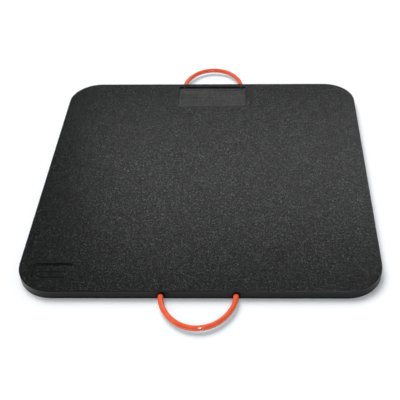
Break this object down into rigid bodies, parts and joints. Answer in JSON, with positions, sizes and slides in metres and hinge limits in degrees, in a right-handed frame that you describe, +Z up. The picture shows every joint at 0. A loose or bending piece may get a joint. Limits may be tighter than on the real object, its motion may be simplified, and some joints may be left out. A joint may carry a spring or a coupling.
{
  "type": "outrigger pad",
  "caption": "Square flat black plastic load-spreading pad with rounded corners and an orange loop handle at its front and rear edges.",
  "frame": {"origin": "centre of the underside, on the ground", "axes": "+X to the right along the handles' edges, +Y to the rear handle, +Z up through the plate's thickness"},
  "size_m": [0.9144, 1.1346, 0.0254],
  "materials": {
    "plate": "matte",
    "handle": "gloss",
    "pin": "satin"
  },
  "bodies": {
    "root": {"pad_plate": "plate", "front_handle": "handle", "rear_handle": "handle", "front_left_pin": "pin", "front_right_pin": "pin", "rear_left_pin": "pin", "rear_right_pin": "pin"}
  },
  "joints": []
}
